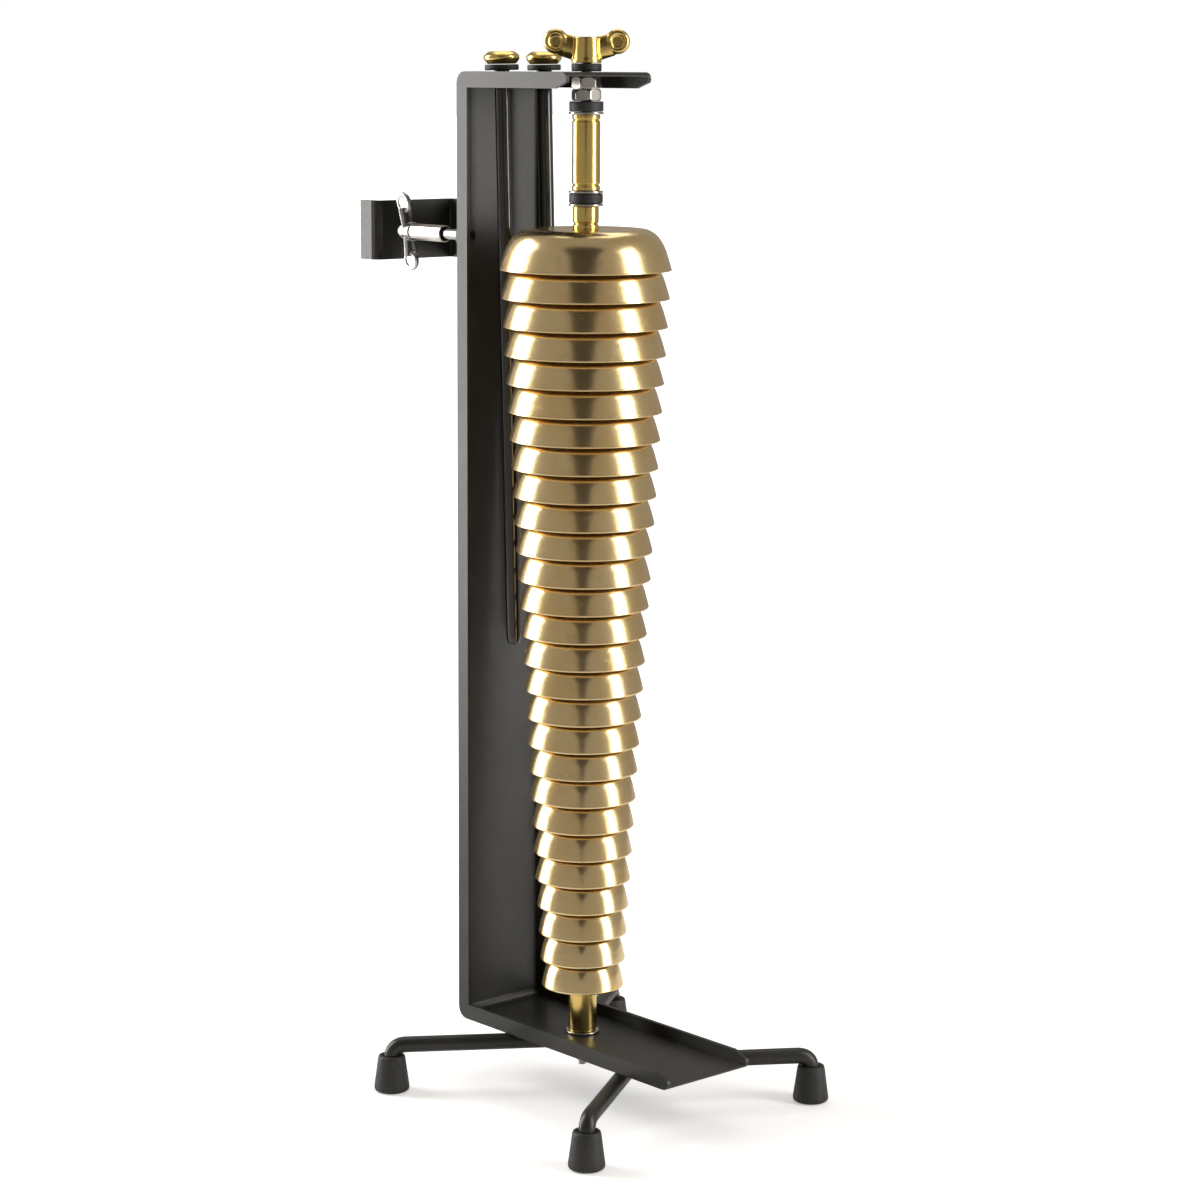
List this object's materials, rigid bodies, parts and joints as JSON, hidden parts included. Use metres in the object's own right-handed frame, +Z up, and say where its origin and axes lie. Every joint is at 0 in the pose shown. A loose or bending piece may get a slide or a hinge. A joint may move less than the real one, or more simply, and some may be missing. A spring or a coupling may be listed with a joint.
{
  "type": "bell_tree",
  "caption": "Bell tree: graduated brass cup bells threaded on a spindle in a black channel frame, with hung beaters, bent-rod feet, a brass wing nut and a stand clamp.",
  "frame": {"origin": "on the floor, under the middle of the bounding box", "axes": "+X from the clamp side along the frame's arms, +Y across the channel, +Z up along the spindle"},
  "size_m": [0.2934, 0.204, 0.6439],
  "materials": {
    "black_steel": "satin black paint",
    "bell_brass": "polished and lacquered",
    "brass": "polished",
    "nickel": "bright nickel plate",
    "chrome": "chrome plate",
    "black_rubber": "matt black",
    "black_lacquer": "gloss black"
  },
  "bodies": {
    "frame": {"bottom_nut": "nickel", "bottom_spacer_tube": "brass", "channel_frame": "black_steel", "clamp_strap": "black_steel", "clamp_weld_nut": "black_steel", "floor_washer": "nickel", "front_left_foot": "black_rubber", "front_leg_rod": "black_steel", "front_right_foot": "black_rubber", "lower_jam_nut": "nickel", "lower_rubber_ring": "black_rubber", "lower_spacer_tube": "brass", "lower_washer": "nickel", "middle_washer": "nickel", "rear_left_foot": "black_rubber", "rear_leg_rod": "black_steel", "rear_right_foot": "black_rubber", "spindle_rod": "nickel", "upper_jam_nut": "nickel", "upper_rubber_ring": "black_rubber", "upper_spacer_tube": "brass", "upper_washer": "nickel"},
    "bell_01_body": {"bell_01": "bell_brass"},
    "bell_02_body": {"bell_02": "bell_brass"},
    "bell_03_body": {"bell_03": "bell_brass"},
    "bell_04_body": {"bell_04": "bell_brass"},
    "bell_05_body": {"bell_05": "bell_brass"},
    "bell_06_body": {"bell_06": "bell_brass"},
    "bell_07_body": {"bell_07": "bell_brass"},
    "bell_08_body": {"bell_08": "bell_brass"},
    "bell_09_body": {"bell_09": "bell_brass"},
    "bell_10_body": {"bell_10": "bell_brass"},
    "bell_11_body": {"bell_11": "bell_brass"},
    "bell_12_body": {"bell_12": "bell_brass"},
    "bell_13_body": {"bell_13": "bell_brass"},
    "bell_14_body": {"bell_14": "bell_brass"},
    "bell_15_body": {"bell_15": "bell_brass"},
    "bell_16_body": {"bell_16": "bell_brass"},
    "bell_17_body": {"bell_17": "bell_brass"},
    "bell_18_body": {"bell_18": "bell_brass"},
    "bell_19_body": {"bell_19": "bell_brass"},
    "bell_20_body": {"bell_20": "bell_brass"},
    "bell_21_body": {"bell_21": "bell_brass"},
    "bell_22_body": {"bell_22": "bell_brass"},
    "bell_23_body": {"bell_23": "bell_brass"},
    "bell_24_body": {"bell_24": "bell_brass"},
    "bell_25_body": {"bell_25": "bell_brass"},
    "bell_26_body": {"bell_26": "bell_brass"},
    "bell_27_body": {"bell_27": "bell_brass"},
    "cap_washer_body": {"cap_washer": "black_rubber"},
    "wing_nut_body": {"brass_wing_nut": "brass"},
    "sleeve_body": {"clamp_sleeve": "nickel"},
    "wing_screw_body": {"clamp_wing_screw": "chrome"},
    "beater_1": {"beater_rod_1": "black_lacquer", "beater_collar_1": "black_rubber", "beater_head_1": "brass"},
    "beater_2": {"beater_rod_2": "black_lacquer", "beater_collar_2": "black_rubber", "beater_head_2": "brass"}
  },
  "joints": [
    {"name": "bell_01_turn", "type": "hinge", "parent": "frame", "child": "bell_01_body", "pos_m": [0.02765, 0, 0.504], "axis": [0, 0, 1], "continuous": true},
    {"name": "bell_02_turn", "type": "hinge", "parent": "frame", "child": "bell_02_body", "pos_m": [0.02765, 0, 0.4872], "axis": [0, 0, 1], "continuous": true},
    {"name": "bell_03_turn", "type": "hinge", "parent": "frame", "child": "bell_03_body", "pos_m": [0.02765, 0, 0.4704], "axis": [0, 0, 1], "continuous": true},
    {"name": "bell_04_turn", "type": "hinge", "parent": "frame", "child": "bell_04_body", "pos_m": [0.02765, 0, 0.4536], "axis": [0, 0, 1], "continuous": true},
    {"name": "bell_05_turn", "type": "hinge", "parent": "frame", "child": "bell_05_body", "pos_m": [0.02765, 0, 0.4368], "axis": [0, 0, 1], "continuous": true},
    {"name": "bell_06_turn", "type": "hinge", "parent": "frame", "child": "bell_06_body", "pos_m": [0.02765, 0, 0.42], "axis": [0, 0, 1], "continuous": true},
    {"name": "bell_07_turn", "type": "hinge", "parent": "frame", "child": "bell_07_body", "pos_m": [0.02765, 0, 0.4032], "axis": [0, 0, 1], "continuous": true},
    {"name": "bell_08_turn", "type": "hinge", "parent": "frame", "child": "bell_08_body", "pos_m": [0.02765, 0, 0.3864], "axis": [0, 0, 1], "continuous": true},
    {"name": "bell_09_turn", "type": "hinge", "parent": "frame", "child": "bell_09_body", "pos_m": [0.02765, 0, 0.3696], "axis": [0, 0, 1], "continuous": true},
    {"name": "bell_10_turn", "type": "hinge", "parent": "frame", "child": "bell_10_body", "pos_m": [0.02765, 0, 0.3528], "axis": [0, 0, 1], "continuous": true},
    {"name": "bell_11_turn", "type": "hinge", "parent": "frame", "child": "bell_11_body", "pos_m": [0.02765, 0, 0.336], "axis": [0, 0, 1], "continuous": true},
    {"name": "bell_12_turn", "type": "hinge", "parent": "frame", "child": "bell_12_body", "pos_m": [0.02765, 0, 0.3192], "axis": [0, 0, 1], "continuous": true},
    {"name": "bell_13_turn", "type": "hinge", "parent": "frame", "child": "bell_13_body", "pos_m": [0.02765, 0, 0.3024], "axis": [0, 0, 1], "continuous": true},
    {"name": "bell_14_turn", "type": "hinge", "parent": "frame", "child": "bell_14_body", "pos_m": [0.02765, 0, 0.2856], "axis": [0, 0, 1], "continuous": true},
    {"name": "bell_15_turn", "type": "hinge", "parent": "frame", "child": "bell_15_body", "pos_m": [0.02765, 0, 0.2688], "axis": [0, 0, 1], "continuous": true},
    {"name": "bell_16_turn", "type": "hinge", "parent": "frame", "child": "bell_16_body", "pos_m": [0.02765, 0, 0.252], "axis": [0, 0, 1], "continuous": true},
    {"name": "bell_17_turn", "type": "hinge", "parent": "frame", "child": "bell_17_body", "pos_m": [0.02765, 0, 0.2352], "axis": [0, 0, 1], "continuous": true},
    {"name": "bell_18_turn", "type": "hinge", "parent": "frame", "child": "bell_18_body", "pos_m": [0.02765, 0, 0.2184], "axis": [0, 0, 1], "continuous": true},
    {"name": "bell_19_turn", "type": "hinge", "parent": "frame", "child": "bell_19_body", "pos_m": [0.02765, 0, 0.2016], "axis": [0, 0, 1], "continuous": true},
    {"name": "bell_20_turn", "type": "hinge", "parent": "frame", "child": "bell_20_body", "pos_m": [0.02765, 0, 0.1848], "axis": [0, 0, 1], "continuous": true},
    {"name": "bell_21_turn", "type": "hinge", "parent": "frame", "child": "bell_21_body", "pos_m": [0.02765, 0, 0.168], "axis": [0, 0, 1], "continuous": true},
    {"name": "bell_22_turn", "type": "hinge", "parent": "frame", "child": "bell_22_body", "pos_m": [0.02765, 0, 0.1512], "axis": [0, 0, 1], "continuous": true},
    {"name": "bell_23_turn", "type": "hinge", "parent": "frame", "child": "bell_23_body", "pos_m": [0.02765, 0, 0.1344], "axis": [0, 0, 1], "continuous": true},
    {"name": "bell_24_turn", "type": "hinge", "parent": "frame", "child": "bell_24_body", "pos_m": [0.02765, 0, 0.1176], "axis": [0, 0, 1], "continuous": true},
    {"name": "bell_25_turn", "type": "hinge", "parent": "frame", "child": "bell_25_body", "pos_m": [0.02765, 0, 0.1008], "axis": [0, 0, 1], "continuous": true},
    {"name": "bell_26_turn", "type": "hinge", "parent": "frame", "child": "bell_26_body", "pos_m": [0.02765, 0, 0.084], "axis": [0, 0, 1], "continuous": true},
    {"name": "bell_27_turn", "type": "hinge", "parent": "frame", "child": "bell_27_body", "pos_m": [0.02765, 0, 0.0672], "axis": [0, 0, 1], "continuous": true},
    {"name": "wing_nut_travel", "type": "slide", "parent": "frame", "child": "cap_washer_body", "axis": [0, 0, 1], "range_m": [0, 0.004]},
    {"name": "wing_nut_spin", "type": "hinge", "parent": "cap_washer_body", "child": "wing_nut_body", "pos_m": [0.02765, 0, 0.6242], "axis": [0, 0, 1], "range_deg": [0, 1440]},
    {"name": "clamp_travel", "type": "slide", "parent": "frame", "child": "sleeve_body", "axis": [1, 0, 0], "range_m": [-0.01, 0.015]},
    {"name": "clamp_spin", "type": "hinge", "parent": "sleeve_body", "child": "wing_screw_body", "pos_m": [-0.05265, -0.024, 0.5213], "axis": [1, 0, 0], "range_deg": [-3600, 5400]},
    {"name": "beater_1_draw", "type": "slide", "parent": "frame", "child": "beater_1", "axis": [-0.0139, -0.0157, 0.9998], "range_m": [0, 0.345]},
    {"name": "beater_2_draw", "type": "slide", "parent": "frame", "child": "beater_2", "axis": [-0.0139, -0.0157, 0.9998], "range_m": [0, 0.345]}
  ],
  "couplings": [
    {"joint": "wing_nut_travel", "follows": "wing_nut_spin", "m_per_rad": 0.00015915},
    {"joint": "clamp_travel", "follows": "clamp_spin", "m_per_rad": 0.00015915}
  ]
}
